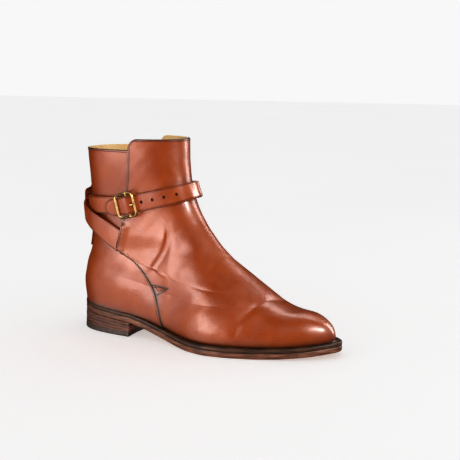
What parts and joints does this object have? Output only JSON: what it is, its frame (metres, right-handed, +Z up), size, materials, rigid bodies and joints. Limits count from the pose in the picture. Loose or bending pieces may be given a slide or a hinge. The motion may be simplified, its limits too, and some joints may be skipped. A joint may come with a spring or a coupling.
{
  "type": "jodhpur boot",
  "caption": "Right ankle boot in tan leather with a wraparound buckled strap, back loop, welted leather sole and low stacked heel.",
  "frame": {"origin": "centre of the boot's footprint box, on the floor plane under heel and forefoot", "axes": "+X from heel to toe, +Z up, -Y towards the outer side with the buckle"},
  "size_m": [0.3028, 0.1054, 0.2099],
  "materials": {
    "back_loop": "smooth tan calf, dark edges",
    "buckle_frame": "antique brass, softly worn",
    "buckle_prong": "antique brass, softly worn",
    "buckle_strap": "glossy smooth tan calf, dark edges",
    "heel_lift_1": "stacked leather, dark brown with streaks",
    "heel_lift_2": "stacked leather, dark brown with streaks",
    "heel_lift_3": "stacked leather, dark brown with streaks",
    "heel_top_piece": "dark hard rubber with a worn edge",
    "insole": "natural tan leather, matte",
    "long_strap": "glossy smooth tan calf, dark edges",
    "outsole": "dark brown sole leather with a worn pale edge",
    "upper": "glossy smooth tan calf, dark painted edges",
    "welt": "dark brown stitched sole leather, satin"
  },
  "bodies": {
    "root": {"back_loop": "back_loop", "buckle_frame": "buckle_frame", "buckle_prong": "buckle_prong", "buckle_strap": "buckle_strap", "heel_lift_1": "heel_lift_1", "heel_lift_2": "heel_lift_2", "heel_lift_3": "heel_lift_3", "heel_top_piece": "heel_top_piece", "insole": "insole", "long_strap": "long_strap", "outsole": "outsole", "upper": "upper", "welt": "welt"}
  },
  "joints": []
}
